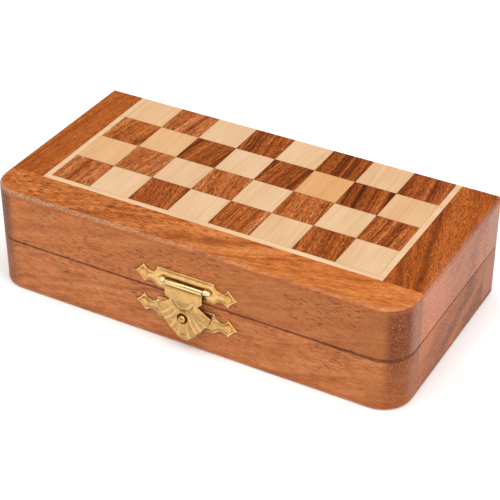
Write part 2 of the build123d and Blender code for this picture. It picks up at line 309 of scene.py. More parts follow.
def edge_wear_and_light(s, wood, colour, place, depth, spot, speckle, up, upright, in_lid):
    """The lid's eased edges: pale with wear and a painted highlight, mostly at the left, and a
    painted shade line below them.
    """
    deep, dark = wood.tones[:2]
    rubbed_and_lit = stretched(s, place, 0.8, 1.6, 2.0, 0.6)
    # Painted shade: a dark line just below the eased edge, on the walls.
    under = s.times(
        s.spread(depth, 1.1, 1.6), s.spread(depth, 2.1, 2.8, 1.0, 0.0), upright,
        s.spread(rubbed_and_lit, 0.35, 0.6, 0.25, 0.75),
    )
    colour = s.mix(under, colour, dark)
    # A pale band on the eased edge: wear with a painted highlight, stronger at the left, in the lid
    # only.
    eased = s.times(
        s.spread(up, 0.975, 0.998, 1.0, 0.0), s.spread(up, 0.0, 0.30), in_lid,
        s.spread(spot["X"], -70.0, 35.0, 0.75, 0.15),
    )
    colour = s.mix(s.times(eased, s.spread(rubbed_and_lit, 0.30, 0.5)), colour, PALE_WEAR_AND_HIGHLIGHT)
    return s.mix(s.times(eased, s.spread(speckle, 0.52, 0.59), 0.8), colour, deep)


def rosewood(name, wood):
    """Open-pored, oiled rosewood."""
    s = Shader(name)
    deep, dark, middle, light = wood.tones
    place = grain_place(s, wood.angle, wood.seed)
    flow = rosewood_flow(s, place, wood)
    up = facing_up(s)
    depth, spot = from_board(s)
    upright = s.spread(up, 0.12, 0.52, 1.0, 0.0)
    in_lid = s.spread(spot["Z"], PARTING - 1.0, PARTING + 1.0)

    on_wall = s.mix(in_lid, grey(wood.base_figure), grey(wood.wall_figure))
    swing = s.math("SUBTRACT", flow, 0.5)
    calm = s.math("MULTIPLY_ADD", swing, s.mix(upright, WHITE, on_wall), 0.5)
    colour = s.ramp(calm, [(0.05, deep), (0.3, dark), (0.55, middle), (0.9, light)])
    # The walls take a painted tint for the light and sheen on them.
    painted_wall_colour = s.vector("MULTIPLY", colour, painted_wall_light(s, wood, spot, in_lid))
    colour = s.mix(upright, colour, painted_wall_colour)
    # A painted pale sheen over the walls.
    if wood.painted_wall_sheen:
        painted_sheen_amount = s.spread(in_lid, 0.0, 1.0, 0.5 * wood.painted_wall_sheen, wood.painted_wall_sheen)
        colour = s.mix(s.times(upright, painted_sheen_amount), colour, PAINTED_WALL_SHEEN_TONE)

    cut_across = end_grain(s, wood.angle)
    ends = s.times(s.spread(cut_across, wood.end_from, wood.end_from + 0.40), upright)
    colour = s.mix(s.times(ends, s.spread(spot["Z"], 8.0, 30.0, 0.6, 1.0)), colour, deep)

    holes = pores(s, place, wood.share, s.spread(up, 0.3, 0.8, 0.6, wood.large), wood.dots)
    clear = s.times(s.spread(spot["X"], -40.0, 60.0, 1.0, wood.clear_end), wood.pore)
    shown = s.mix(upright, clear, grey(WALL_PORE))
    colour = s.mix(s.times(holes, shown), colour, deep)
    colour = s.mix(s.times(wall_dashes(s, wood, place), upright), colour, deep)

    speckle = stretched(s, place, 1.0, 2.6, 1.5)
    colour = s.mix(s.times(ends, s.spread(speckle, 0.52, 0.60), 0.42), colour, middle)
    # A painted pale sheen on end grain.
    if wood.painted_end_sheen:
        end_sheen_mask = s.times(
            s.spread(cut_across, 0.84, 0.99), upright,
            s.spread(in_lid, 0.0, 1.0, 0.45 * wood.painted_end_sheen, wood.painted_end_sheen),
            s.spread(speckle, 0.35, 0.6, 0.55, 1.0),
        )
        colour = s.mix(end_sheen_mask, colour, PAINTED_END_SHEEN_TONE)

    colour = edge_wear_and_light(s, wood, colour, place, depth, spot, speckle, up, upright, in_lid)
    # Painted shade in the gap along the parting line.
    colour = s.mix(parting_shade(s, spot, up, wood.seam_wide), colour, PARTING_SHADE_TONE)
    return open_grained(s, colour, holes, flow, 0.25, wood.gloss)


def open_grained(s, colour, holes, flow, ripple, gloss):
    """The finished material of oiled wood, whose pores are sunk and duller."""
    relief = s.math("MULTIPLY_ADD", holes, -1.0, s.times(flow, ripple))
    return s.finish(
        Base_Color=colour,
        Roughness=s.math("MULTIPLY_ADD", holes, 0.2, 0.42),
        Specular_IOR_Level=gloss,
        Normal=s.bump(relief, 0.6, 0.00010),
    )


def parting_shade(s, spot, up, wide):
    """1 along the walls' edges where the two halves meet: the painted shade of the gap there.

    Wide is how far it reaches at the right end, in millimetres."""
    away = s.math("ABSOLUTE", s.math("SUBTRACT", spot["Z"], PARTING))
    near = s.spread(away, 0.18, s.spread(spot["X"], 40.0, 80.0, 0.62, wide), 1.0, 0.0)
    return s.times(near, s.spread(up, 0.5, 0.9, 1.0, 0.0))


def cell_place(s):
    """Which square a point is in, and how far it is from that square's edge in millimetres."""
    place = s.split(s.here())
    cells, edges = [], []
    for axis, start in (("X", FIELD_LEFT + STRINGING), ("Y", FIELD_FRONT + STRINGING)):
        value = s.math("DIVIDE", s.math("SUBTRACT", place[axis], start), SQUARE)
        cells.append(s.math("FLOOR", value))
        inside = s.math("FRACT", value)
        edge = s.math("MINIMUM", inside, s.math("SUBTRACT", 1.0, inside))
        edges.append(s.times(edge, SQUARE))
    half = s.math("GREATER_THAN", place["Z"], PARTING)
    layer = s.math("MULTIPLY_ADD", half, 7.0, 3.0)
    cell = s.add("ShaderNodeCombineXYZ", {0: cells[0], 1: cells[1], 2: layer}).outputs[0]
    return cell, s.math("MINIMUM", *edges)


def cell_source(s, cell, seed, lean):
    """Object coordinates moved and turned a little, differently in every square."""
    chance = s.random(s.vector("ADD", cell, (seed * 1.7, seed * 0.9, 0.5)))
    moved = s.vector("ADD", s.coordinates(), s.scale(chance, 1.3))
    turn = centred(s, s.split(chance)["X"], radians(2 * lean))
    node = s.add("ShaderNodeVectorRotate", {"Vector": moved, "Angle": turn}, rotation_type="Z_AXIS")
    return node.outputs[0], chance


def dark_square_wood(name, wood):
    """The dark squares: each is cut from another board."""
    s = Shader(name)
    deep, dark, middle, light = wood.tones
    cell, edge = cell_place(s)
    source, chance = cell_source(s, cell, wood.seed, 10.0)
    place = grain_place(s, wood.angle, wood.seed, source)
    flow = rosewood_flow(s, place, wood)
    shift = s.split(chance)
    flow = s.plus(flow, centred(s, shift["Y"], 0.34))
    colour = s.ramp(flow, [(0.02, deep), (0.3, dark), (0.61, middle), (1.0, light)])
    warm = s.spread(shift["Z"], 0.0, 1.0, smooth=False)
    colour = s.mix(0.5, colour, s.mix(warm, rgb(196, 116, 100), rgb(196, 128, 20)), "SOFT_LIGHT")
    holes = pores(s, place, wood.share, wood.large, wood.dots)
    colour = s.mix(s.times(holes, wood.pore), colour, deep)
    colour = s.mix(s.spread(edge, 0.05, 0.28, 0.5, 0.0), colour, deep)
    return open_grained(s, colour, holes, flow, 0.3, wood.gloss)


def maple_colour(s, place, tones):
    dark, middle, light = tones
    streaks = stretched(s, place, 0.035, 1.2, 4.0, 0.6)
    clouds = stretched(s, place, 0.03, 0.12, 2.0, 0.5)
    flow = s.plus(streaks, centred(s, clouds, 0.7))
    return s.ramp(flow, [(0.15, dark), (0.5, middle), (0.85, light)]), streaks


def light_square_wood(name, tones, seed):
    """The light squares: close-grained pale wood, each square a little different."""
    s = Shader(name)
    cell, edge = cell_place(s)
    source, chance = cell_source(s, cell, seed, 5.0)
    place = grain_place(s, 90.0, seed, source)
    colour, streaks = maple_colour(s, place, tones)
    warm = s.spread(s.split(chance)["Y"], 0.45, 1.0, smooth=False)
    colour = s.mix(1.0, colour, s.mix(warm, WHITE, rgb(250, 224, 192)), "MULTIPLY")
    flecks = stretched(s, place, 0.5, 4.0, 1.0, 0.4)
    colour = s.mix(s.spread(flecks, 0.62, 0.8, 0.0, 0.22), colour, rgb(190, 140, 92))
    colour = s.mix(s.spread(edge, 0.04, 0.26, 0.55, 0.0), colour, rgb(120, 70, 36))
    return s.finish(Base_Color=colour, Roughness=0.44, Normal=s.bump(streaks, 0.2, 0.00006))


def strip_wood(name, tones, seed):
    """The pale stringing."""
    s = Shader(name)
    place = grain_place(s, 0.0, seed)
    colour, streaks = maple_colour(s, place, tones)
    return s.finish(Base_Color=colour, Roughness=0.44, Normal=s.bump(streaks, 0.2, 0.00006))


# ---- Brass, steel and cloth ----

def brass(name, tones, roughness, tarnish=0.35):
    """Stamped brass: small dents and scratches, and tarnish in patches and in the hollows.

    The attribute hollow runs from -2 where a piece shows silvery wear under a painted highlight,
    through -1 for a painted highlight on its ridges, to 1 for tarnish and painted shade in its
    grooves."""
    s = Shader(name)
    bright, plain, dull = tones
    place = s.here()
    patches = s.noise(place, 0.35, 4.0, 0.65)
    dents = s.noise(place, 1.1)
    grain = s.noise(place, 3.5, 3.0, 0.6)
    hollow = s.add("ShaderNodeAttribute", attribute_name="hollow").outputs["Fac"]
    uneven = s.times(hollow, s.spread(dents, 0.30, 0.62, 0.45, 1.15))
    colour = s.mix(s.spread(patches, 0.38, 0.68, 0.0, tarnish), plain, dull)
    colour = s.mix(s.spread(grain, 0.35, 0.70, 0.0, 0.28), colour, bright)
    # Above 0 the attribute dulls the colour: tarnish with painted shade.
    colour = s.mix(s.spread(uneven, 0.05, 0.9, 0.0, 0.85), colour, dull)
    # Below 0 it lightens it: a painted highlight.
    colour = s.mix(s.spread(hollow, -1.0, -0.05, 0.85, 0.0), colour, bright)
    # Down to -2 it turns silvery: wear with a painted highlight.
    colour = s.mix(s.spread(hollow, -2.0, -1.0, 1.0, 0.0), colour, SILVER_WEAR_AND_HIGHLIGHT)
    rough = s.plus(
        centred(s, grain, 0.14), roughness, s.spread(hollow, -1.0, 0.0, -0.14, 0.0),
        s.spread(hollow, -2.0, -1.0, 0.2, 0.0),
    )
    relief = s.plus(dents, s.times(grain, 0.35))
    return s.finish(
        Base_Color=colour,
        Metallic=1.0,
        Roughness=rough,
        Normal=s.bump(relief, 0.4, 0.00008),
    )


def dyed(tone, factor):
    """A colour made lighter or darker."""
    return tuple(min(1.0, factor * value) for value in tone[:3]) + (1.0,)


def velvet(name, tone):
    """Cloth with a short pile, brushed this way and that, and a soft sheen."""
    s = Shader(name)
    place = s.here()
    brushed = s.noise(place, 0.16, 3.0, 0.6)
    pile = s.noise(place, 5.5, 2.0, 0.6)
    nap = s.plus(s.times(brushed, 0.6), s.times(pile, 0.4))
    colour = s.ramp(nap, [(0.3, dyed(tone, 0.45)), (0.5, tone), (0.72, dyed(tone, 1.7))])
    return s.finish(
        Base_Color=colour,
        Roughness=0.92,
        Specular_IOR_Level=0.2,
        Sheen_Weight=0.6,
        Sheen_Roughness=0.4,
        Sheen_Tint=dyed(tone, 3.0),
        Normal=s.bump(pile, 0.7, 0.00025),
    )


PLY = 0.8


def plain_wood(name, tones, seed):
    """Plywood: rotary-cut figure on its faces and dark glue lines on its edges."""
    s = Shader(name)
    place = grain_place(s, 0.0, seed)
    colour, streaks = maple_colour(s, place, tones)
    plies = s.math("FRACT", s.times(s.split(place)["Z"], 1 / PLY))
    on_edge = s.spread(facing_up(s), 0.3, 0.7, 0.7, 0.0)
    line = s.times(s.spread(plies, 0.0, 0.12, 1.0, 0.0), on_edge)
    colour = s.mix(line, colour, rgb(96, 58, 34))
    return s.finish(Base_Color=colour, Roughness=0.6, Normal=s.bump(streaks, 0.3, 0.0001))


def sheet_steel(name):
    s = Shader(name)
    place = s.here()
    rolled = stretched(s, place, 0.08, 3.0, 3.0, 0.6)
    colour = s.ramp(rolled, [(0.3, rgb(120, 120, 124)), (0.7, rgb(176, 176, 178))])
    return s.finish(
        Base_Color=colour, Metallic=1.0, Roughness=0.38, Normal=s.bump(rolled, 0.15, 0.00003)
    )


# ---- Dressing the CAD nodes ----

def dress(node, material):
    """Gives a CAD node one material."""
    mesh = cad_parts[node].data
    mesh.materials.clear()
    mesh.materials.append(material)


# Pale wear with a painted highlight, for the eased edges.
PALE_WEAR_AND_HIGHLIGHT = rgb(180, 140, 110)
# Painted shade for the parting line.
PARTING_SHADE_TONE = rgb(44, 12, 4)
# Painted pale sheen for the walls.
PAINTED_WALL_SHEEN_TONE = rgb(236, 212, 200)
# Painted pale sheen for end grain.
PAINTED_END_SHEEN_TONE = rgb(190, 134, 108)
RAIL_TONES = (rgb(100, 42, 6), rgb(168, 84, 26), rgb(210, 122, 54), rgb(224, 147, 88))
LEFT_TONES = (rgb(92, 38, 4), rgb(152, 69, 10), rgb(184, 96, 26), rgb(200, 116, 52))
RIGHT_TONES = (rgb(62, 22, 0), rgb(138, 62, 9), rgb(186, 94, 28), rgb(206, 113, 50))
SQUARE_TONES = (rgb(64, 27, 2), rgb(139, 76, 18), rgb(187, 117, 59), rgb(215, 158, 107))
PALE_TONES = (rgb(200, 158, 116), rgb(214, 177, 138), rgb(223, 190, 152))
CREAM_TONES = (rgb(196, 154, 112), rgb(210, 172, 132), rgb(218, 185, 147))
PLATE_TONES = (rgb(240, 208, 152), rgb(204, 160, 97), rgb(130, 92, 42))
UPPER_TONES = (rgb(252, 226, 168), rgb(226, 180, 112), rgb(136, 94, 42))
# Silvery wear with a painted highlight, for the pin covers.
SILVER_WEAR_AND_HIGHLIGHT = rgb(226, 218, 188)
PIN_TONES = (rgb(246, 228, 184), rgb(230, 204, 150), rgb(176, 134, 74))
STUD_TONES = (rgb(224, 192, 120), rgb(190, 152, 86), rgb(128, 94, 44))
NAIL_TONES = (rgb(232, 196, 126), rgb(214, 166, 94), rgb(170, 122, 60))

front_wood = rosewood("front_rail_wood", Timber(
    8.0, RAIL_TONES, 1, ring_normal=(-0.12, 0.6, 0.75), sway=9.0, pitch=3.0, pore=0.85,
    figure=0.75, streak=0.6, mottle=0.55, share=1.0, clear_end=0.55,
    wall=(0.89, 0.945, 1.19), base_wall=(0.88, 0.96, 1.33), wall_end=0.84, wall_figure=0.42,
    base_figure=0.8, wall_angle=2.0, dash=0.95, end_from=0.12, painted_end_sheen=0.5, seam_wide=1.0,
))
left_wood = rosewood("left_rail_wood", Timber(
    86.0, LEFT_TONES, 142, sway=3.0, pitch=2.6, figure=0.8, streak=1.3, mottle=0.2, straight=2.0,
    fine=2.2, share=1.0, pore=0.6, dots=0.6,
))
right_wood = rosewood("right_rail_wood", Timber(
    106.0, RIGHT_TONES, 43, ring_normal=(0.0, 0.94, 0.27), pitch=8.0, figure=1.25, streak=0.35,
    mottle=0.3, detail=1.5, share=1.0, pore=0.8, large=0.6, dots=0.85, gloss=0.2,
    wall=(1.22, 1.39, 2.90), base_wall=(1.02, 1.05, 1.31), back_end=(0.78, 0.89, 1.02),
    wall_figure=1.3, base_figure=1.9, wall_angle=90.0, dash=0.35, painted_wall_sheen=0.13,
))
back_wood = rosewood("back_rail_wood", Timber(
    4.0, RAIL_TONES, 4, figure=0.9, wall=(0.91, 0.84, 0.75), base_wall=(0.98, 0.91, 0.84),
    painted_end_sheen=0.8,
))
dark_wood = dark_square_wood("dark_square_wood", Timber(
    90.0, SQUARE_TONES, 495, ring_normal=(0.0, 1.0, 0.4), sway=1.4, pitch=3.9, figure=1.4,
    streak=0.95, mottle=0.25, straight=4.0, fine=2.2, share=0.85, pore=0.75, dots=0.7, gloss=0.15,
))
light_wood = light_square_wood("light_square_wood", CREAM_TONES, 376)
stringing_wood = strip_wood("stringing_wood", PALE_TONES, 7)
plate_brass = brass("plate_brass", PLATE_TONES, 0.34, 0.5)
upper_brass = brass("upper_plate_brass", UPPER_TONES, 0.34, 0.4)
pin_brass = brass("pin_brass", PIN_TONES, 0.20)
nail_brass = brass("nail_brass", NAIL_TONES, 0.38, 0.6)
hinge_brass = brass("hinge_brass", NAIL_TONES, 0.46, 0.3)
stud_brass = brass("stud_brass", STUD_TONES, 0.24, 0.7)

insert_velvet = velvet("green_velvet", rgb(28, 74, 48))
panel_wood = plain_wood("panel_plywood", PALE_TONES, 8)
steel = sheet_steel("sheet_steel")

HALF_MATERIALS = {
    "front_rail": front_wood, "left_rail": left_wood, "right_rail": right_wood,
    "back_rail": back_wood, "dark_squares": dark_wood, "light_squares": light_wood,
    "stringing": stringing_wood, "core_panel": panel_wood, "steel_sheet": steel,
    "floor_lining": insert_velvet, "insert_rim": insert_velvet, "long_divider": insert_velvet,
    "cross_dividers": insert_velvet, "hinge_screws": pin_brass,
}
HINGE_MATERIALS = {
    "hinge_pin": pin_brass, "hinge_base_leaf": hinge_brass, "hinge_lid_leaf": hinge_brass,
}
for half in ("lid", "base"):
    for part, material in HALF_MATERIALS.items():
        dress(f"{half}_{part}", material)
for side in ("left", "right"):
    for part, material in HINGE_MATERIALS.items():
        dress(f"{side}_{part}", material)
for node in ("hasp_plate", "hasp_leaf", "catch_plate", "hasp_nails", "catch_nails"):
    dress(node, plate_brass)
for node in ("hasp_pin", "catch_stud"):
    dress(node, pin_brass)


# ---- Building pieces ----

def joined(parts):
    """The points and faces of several parts as one."""
    points, faces, start = [], [], 0
    for part in parts:
        points.append(part[0])
        faces += [[start + i for i in face] for face in part[1]]
        start += len(part[0])
    return np.concatenate(points), faces


def add_piece(name, points, faces, material, body, replaced):
    """A smooth object, given in millimetres, that rides on a body in place of a CAD node."""
    mesh = bpy.data.meshes.new(name)
    mesh.from_pydata((points * MM).tolist(), [], faces)
    mesh.polygons.foreach_set("use_smooth", [True] * len(mesh.polygons))
    mesh.materials.append(material)
    piece = bpy.data.objects.new(name, mesh)
    bpy.context.scene.collection.objects.link(piece)
    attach(piece, body)
    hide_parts(replaced)
    return piece


# ---- Clasp ----
# Clasp pieces are drawn as the construction draws them, in millimetres: x to the right and y up
# from the middle of their plate, and w out from the wood.

CLASP_X = 0.8
HASP_HEIGHT = 28.65
CATCH_HEIGHT = 15.15
HOLE_DROP = HASP_HEIGHT - CATCH_HEIGHT
HOLE_RADIUS = 2.3
PLATE = 0.6
PLATE_BODY, PLATE_HALF, PLATE_TIP = 12.3, 4.5, 22.4
NECK_X, LOWER_NECK, UPPER_NECK = 14.9, 2.7, 1.5
FLEUR_X, FLEUR_Y = 18.1, 4.3
FLEUR_BULGE_X, FLEUR_BULGE_Y = 19.9, 1.8
SLOT_X, SLOT_LOW, SLOT_HIGH = 8.25, -1.7, 1.25
NAIL_X = 18.2
PIVOT_OUT = 1.35
BARREL = 1.3
LEAF_FRONT = PIVOT_OUT + BARREL
LEAF_SHEET = 0.6
LEAF_HALF = 8.0
ROLL = 1.15
ROLL_DROP = 0.2
ROLL_EASE = 0.12
COVER = 1.15
COVER_START = 8.38
COVER_BEND = 9.3
COVER_TAPER = 0.62
CREASE = 32.0
PLATE_SPACING = 0.25
LEAF_SPACING = 0.22


def arc(a, b, c, count):
    """Points along the circle through a, b and c, from a to c."""
    (ax, ay), (bx, by), (cx, cy) = a, b, c
    d = 2 * (ax * (by - cy) + bx * (cy - ay) + cx * (ay - by))
    a2, b2, c2 = ax * ax + ay * ay, bx * bx + by * by, cx * cx + cy * cy
    ox = (a2 * (by - cy) + b2 * (cy - ay) + c2 * (ay - by)) / d
    oy = (a2 * (cx - bx) + b2 * (ax - cx) + c2 * (bx - ax)) / d
    start, middle, end = (np.arctan2(y - oy, x - ox) for x, y in (a, b, c))
    turn = (end - start) % (2 * pi)
    if (middle - start) % (2 * pi) > turn:
        turn -= 2 * pi
    angles = start + turn * np.linspace(0, 1, count + 1)
    radius = np.hypot(ax - ox, ay - oy)
    return np.stack([ox + radius * np.cos(angles), oy + radius * np.sin(angles)], 1)


def straight(a, b, spacing=0.3):
    count = max(1, int(np.hypot(b[0] - a[0], b[1] - a[1]) / spacing))
    t = np.linspace(0, 1, count + 1)[:, None]
    return np.array(a) * (1 - t) + np.array(b) * t


def loop(parts):
    """Joins runs of points end to end into one closed ring."""
    return np.concatenate([part[:-1] for part in parts])


def flipped(part):
    """A run mirrored across the centre line and reversed, to go on round the ring."""
    return (part * (-1, 1))[::-1]


def distance_to_path(points, path, closed=False):
    """Distance of every point to a run of short lines."""
    ends = np.roll(path, -1, 0) if closed else path[1:]
    starts = path if closed else path[:-1]
    best = np.full(len(points), np.inf)
    for a, b in zip(starts, ends):
        line = b - a
        t = np.clip(((points - a) @ line) / max(line @ line, 1e-12), 0, 1)
        best = np.minimum(best, np.hypot(*(points - a - t[:, None] * line).T))
    return best


def inside(points, ring):
    """True for the points inside a closed ring."""
    x, y = points.T
    hit = np.zeros(len(points), bool)
    for (ax, ay), (bx, by) in zip(ring, np.roll(ring, -1, 0)):
        crosses = (ay > y) != (by > y)
        if ay != by:
            hit ^= crosses & (x < ax + (y - ay) * (bx - ax) / (by - ay))
    return hit


def ring_normals(ring):
    """Unit normals to the left of a ring's direction."""
    run = np.roll(ring, -1, 0) - np.roll(ring, 1, 0)
    normal = np.stack([-run[:, 1], run[:, 0]], 1)
    return normal / np.linalg.norm(normal, axis=1)[:, None]


def sheet_points(outer, holes, spacing, extra):
    """Points to fill an outline: rows close inside its edges and a staggered grid."""
    rings = [outer] + holes
    rows = []
    for depth in (0.05, 0.12, 0.22):
        for ring in rings:
            # Rings run anticlockwise, so the left is inwards for the outline and a hole's inside.
            side = 1 if ring is outer else -1
            row = ring + side * depth * ring_normals(ring)
            near = np.min([distance_to_path(row, r, True) for r in rings], 0)
            rows.append(row[near > 0.9 * depth])
    low, high = outer.min(0), outer.max(0)
    xs = np.arange(low[0], high[0], spacing)
    ys = np.arange(low[1], high[1], spacing * sqrt(0.75))
    grid = np.array([(x + (k % 2) * spacing / 2, y) for k, y in enumerate(ys) for x in xs])
    spots = np.concatenate([grid, *extra])
    spots = spots[inside(spots, outer)]
    for hole in holes:
        spots = spots[~inside(spots, hole)]
    near = np.min([distance_to_path(spots, r, True) for r in rings], 0)
    return np.concatenate(rows + [spots[near > 0.22 + 0.35 * spacing]])


def relief_mesh(outer, holes, front, back, spacing, extra=()):
    """A closed sheet of an outline, with a shaped front and back.

    front takes points and their distances to the outline and to the nearest edge, and gives their
    heights w and each place's tarnish and painted light, for the brass. back takes only the points."""
    rings = [outer] + holes
    points = sheet_points(outer, holes, spacing, extra)
    edges, start = [], 0
    for ring in rings:
        edges += [(start + i, start + (i + 1) % len(ring)) for i in range(len(ring))]
        start += len(ring)
    given = [Vector(p) for p in np.concatenate(rings + [points])]
    found = delaunay_2d_cdt(given, edges, [], 0, 1e-5)
    flat, triangles = np.array(found[0]), np.array(found[2])
    middles = flat[triangles].mean(1)
    keep = inside(middles, outer)
    for hole in holes:
        keep &= ~inside(middles, hole)
    triangles = triangles[keep]
    a, b, c = (flat[triangles[:, k]] for k in range(3))
    area = np.cross(b - a, c - a)
    triangles = np.where((area < 0)[:, None], triangles[:, ::-1], triangles)
    used = np.unique(triangles)
    index = np.full(len(flat), -1)
    index[used] = np.arange(len(used))
    flat, triangles = flat[used], index[triangles]
    to_outline = distance_to_path(flat, outer, True)
    to_edge = np.min([to_outline] + [distance_to_path(flat, h, True) for h in holes], 0)
    count = len(flat)
    height, hollow = front(flat, to_outline, to_edge)
    tops = np.column_stack([flat, height])
    bottoms = np.column_stack([flat, back(flat)])
    directed = np.concatenate([triangles[:, [0, 1]], triangles[:, [1, 2]], triangles[:, [2, 0]]])
    pairs = {(int(i), int(j)) for i, j in directed}
    rim = [(i, j) for i, j in sorted(pairs) if (j, i) not in pairs]
    faces = triangles.tolist() + (triangles[:, ::-1] + count).tolist()
    faces += [(j, i, i + count, j + count) for i, j in rim]
    return np.concatenate([tops, bottoms]), faces, np.concatenate([hollow, np.zeros(count)])


def lathe(profile, segments, axis=(0.0, 0.0)):
    """Turns (radius, w) pairs about a line out from the wood. Both ends lie on it."""
    x, y = axis
    angles = np.linspace(0, 2 * pi, segments, endpoint=False)
    vertices = [(x, y, profile[0][1])]
    for radius, w in profile[1:-1]:
        vertices += [(x + radius * cos(t), y + radius * sin(t), w) for t in angles]
    vertices.append((x, y, profile[-1][1]))
    last = len(vertices) - 1
    faces = []
    rows = len(profile) - 2
    for k in range(segments):
        n = (k + 1) % segments
        faces.append((0, 1 + n, 1 + k))
        for row in range(rows - 1):
            a, b = 1 + row * segments, 1 + (row + 1) * segments
            faces.append((a + k, a + n, b + n, b + k))
        end = 1 + (rows - 1) * segments
        faces.append((end + k, end + n, last))
    return np.array(vertices), faces, 0.0


def clasp_piece(name, parts, place, material, body, replaced):
    """One brass object from (points, faces, hollow) parts in clasp coordinates."""
    points, faces = joined(parts)
    x, y, w = points.T
    points = np.column_stack([place[0] + x, place[1] - w, place[2] + y])
    mesh = add_piece(name, points, faces, material, body, replaced).data
    hollow = np.concatenate([np.broadcast_to(part[2], len(part[0])) for part in parts])
    attribute = mesh.attributes.new("hollow", "FLOAT", "POINT")
    attribute.data.foreach_set("value", hollow.astype(np.float32))
    mesh.set_sharp_from_angle(angle=radians(CREASE))


def rounded(distance, radius):
    """How far an edge with this rounding falls, at a distance in from it."""
    near = np.clip(distance, 0, radius)
    return radius - np.sqrt(np.maximum(radius**2 - (radius - near) ** 2, 0))


def ridge(distance, width):
    return np.exp(-((distance / width) ** 2))


def step(value, low, high):
    t = np.clip((value - low) / (high - low), 0, 1)
    return t * t * (3 - 2 * t)


def plate_outline():
    """A body between two necks that end in pointed fleurs."""
    parts = []
    for sign, neck in ((-1, LOWER_NECK), (1, UPPER_NECK)):
        shoulder = (PLATE_BODY, sign * PLATE_HALF)
        fleur = (FLEUR_X, sign * FLEUR_Y)
        side = [
            straight((0, sign * PLATE_HALF), shoulder),
            arc(shoulder, (NECK_X, sign * neck), fleur, 16),
            arc(fleur, (FLEUR_BULGE_X, sign * FLEUR_BULGE_Y), (PLATE_TIP, 0), 12),
        ]
        parts += side if sign < 0 else [part[::-1] for part in side[::-1]]
    return loop(parts + [flipped(part) for part in parts[::-1]])


def stamped(points, to_outline, to_edge):
    """A plate's front: a raised border, a groove inside it and a slightly crowned middle."""
    border = ridge(to_outline - 0.40, 0.24)
    groove = ridge(to_outline - 0.98, 0.26)
    height = PLATE + 0.15 * border - 0.2 * groove + 0.1 * step(to_outline, 1.1, 2.6)
    # The second value marks tarnish with painted shade in the groove and a painted highlight on the
    # border.
    return height - rounded(to_edge, 0.2), 0.3 * groove - 0.95 * border


def flat_back(points):
    return np.zeros(len(points))


def cover_distance(points):
    """How far a point is from the ridge of the nearer pin cover, which tapers at its outer end."""
    beyond = np.maximum(np.abs(points[:, 0]) - COVER_BEND, 0) * COVER_TAPER
    return np.hypot(beyond, points[:, 1])


def covered(points, to_outline, to_edge):
    """The hasp's plate: the stamped front with a pressed cover over each end of the pin."""
    out = np.abs(points[:, 0])
    away = cover_distance(points)
    height, hollow = stamped(points, to_outline, to_edge)
    # A dip round the foot of each cover, with painted shade in it.
    foot = ridge(np.maximum(away - COVER - 0.2, 0), 0.45) * (away > COVER) * (out > 8.0)
    rise = np.sqrt(np.maximum(1 - (away / COVER) ** 2, 0))
    raised = (away < COVER) & (out > COVER_START)
    # A painted highlight over the top of each cover, and painted shade on its lower side and round
    # its rim.
    lit = step(points[:, 1] / COVER, -0.25, 0.25) * step(rise, 0.10, 0.35)
    rubbed_and_lit = 0.8 - 2.8 * lit
    bump = np.maximum(PIVOT_OUT - 0.1 + COVER * rise, height)
    height = np.where(raised, bump, height - 0.2 * foot)
    return height, np.where(raised, rubbed_and_lit, np.maximum(hollow, 0.5 * foot))


def cover_points():
    """Extra points where the covers rise from the plate."""
    rows = []
    for out in (-0.5, -0.32, -0.18, -0.08, -0.02, 0.02, 0.1, 0.25, 0.45):
        radius = COVER + out
        straight_run = [(x, sign * radius) for x in np.arange(8.6, 9.2, 0.2) for sign in (1, -1)]
        angles = np.linspace(-pi / 2, pi / 2, 17)
        bend = [(COVER_BEND + radius / COVER_TAPER * cos(t), radius * sin(t)) for t in angles]
        right = np.array(straight_run + bend)
        rows += [right, right * (-1, 1)]
    for x in (COVER_START - 0.03, COVER_START + 0.03):
        wall = np.column_stack([np.full(13, x), np.linspace(-COVER, COVER, 13)])
        rows += [wall, wall * (-1, 1)]
    return np.concatenate(rows)


FAN_CENTRE = -6.5
TIP = (0.0, 17.6)
# The scallops' cusps at the right, as (angle, radius) pairs, and how far each scallop bulges.
CUSPS = [(9.0, 16.2), (25.0, 13.9), (41.0, 12.7), (56.0, 12.3), (70.0, 12.2)]
BULGE = 0.35
WAIST = [(10.9, -10.2), (6.0, -6.9), (LEAF_HALF, -5.3)]


def polar(angle, radius):
    """A point of the shell by its angle from straight down about the fan's centre."""
    return radius * sin(radians(angle)), FAN_CENTRE - radius * cos(radians(angle))


def leaf_outline():
    """Neck, waist and scalloped shell."""
    angle, radius = CUSPS[0]
    right = [arc(polar(-angle, radius), polar(*TIP), polar(angle, radius), 24)[12:]]
    for (angle_a, radius_a), (angle_b, radius_b) in zip(CUSPS, CUSPS[1:]):
        bulge = polar((angle_a + angle_b) / 2, (radius_a + radius_b) / 2 + BULGE)
        right.append(arc(polar(angle_a, radius_a), bulge, polar(angle_b, radius_b), 12))
    corners = [polar(*CUSPS[-1])] + WAIST + [(LEAF_HALF, 0.0), (0.0, 0.0)]
    right += [straight(a, b) for a, b in zip(corners, corners[1:])]
    return loop(right + [flipped(part) for part in right[::-1]])


def curve(start, control, end):
    t = np.linspace(0, 1, 25)[:, None]
    points = np.array(start) * (1 - t) ** 2 + np.array(control) * 2 * t * (1 - t)
    return points + np.array(end) * t * t


